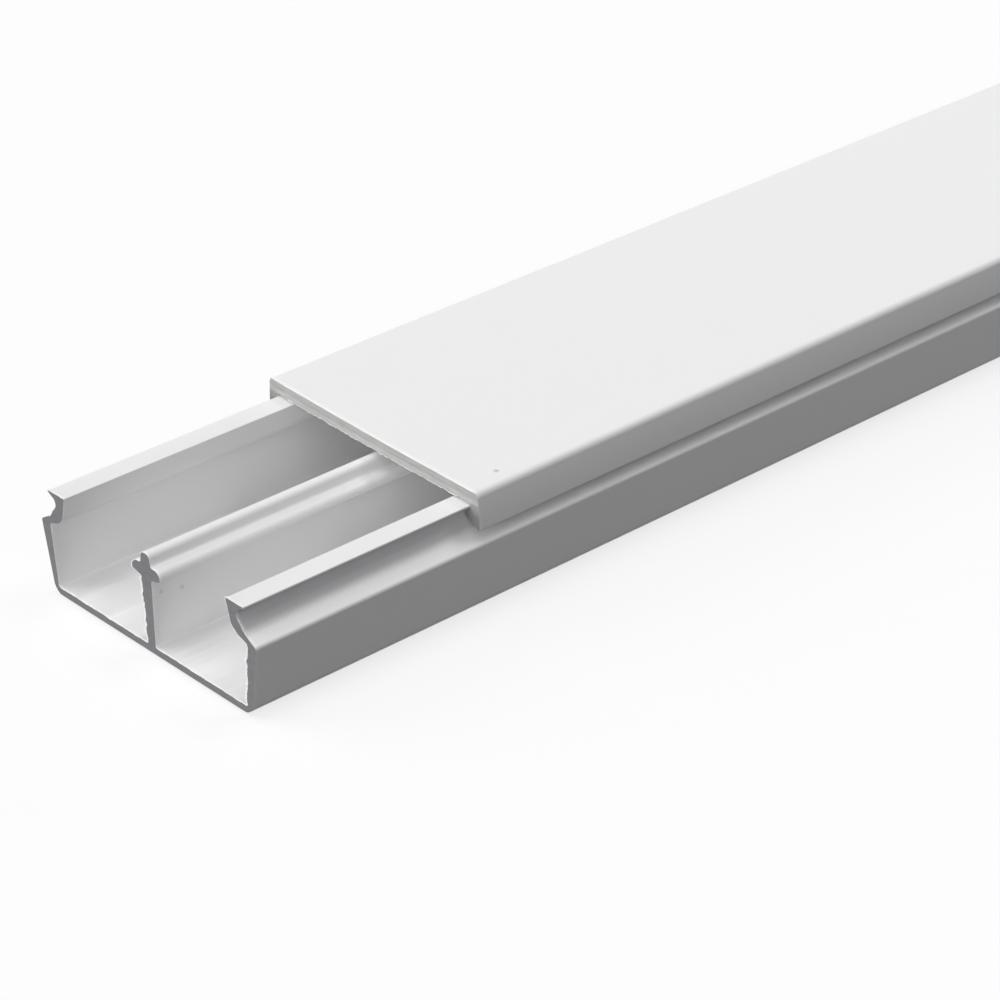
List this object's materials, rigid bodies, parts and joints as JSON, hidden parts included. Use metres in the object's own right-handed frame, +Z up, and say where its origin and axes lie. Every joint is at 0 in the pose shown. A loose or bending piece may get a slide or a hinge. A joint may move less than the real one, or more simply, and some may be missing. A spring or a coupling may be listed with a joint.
{
  "type": "cord cover raceway",
  "caption": "White cord cover raceway: a two-channel extruded base with a snap-fit sliding cover and an adhesive back.",
  "frame": {"origin": "middle of the base's length and width, at the underside of the release liner", "axes": "+X along the stock, away from the end where the cover is slid back; +Y across it; +Z up, out of the wall that it is stuck to"},
  "size_m": [1.0329, 0.04, 0.016],
  "materials": {
    "white_pvc": "satin",
    "adhesive": "satin",
    "kraft_liner": "satin"
  },
  "bodies": {
    "base": {"base_channel": "white_pvc", "adhesive_strip": "adhesive", "release_liner": "kraft_liner"},
    "cover": {"cover": "white_pvc"}
  },
  "joints": [
    {"name": "cover_slide", "type": "slide", "parent": "base", "child": "cover", "axis": [1, 0, 0], "range_m": [-0.0329, 0.97]}
  ]
}
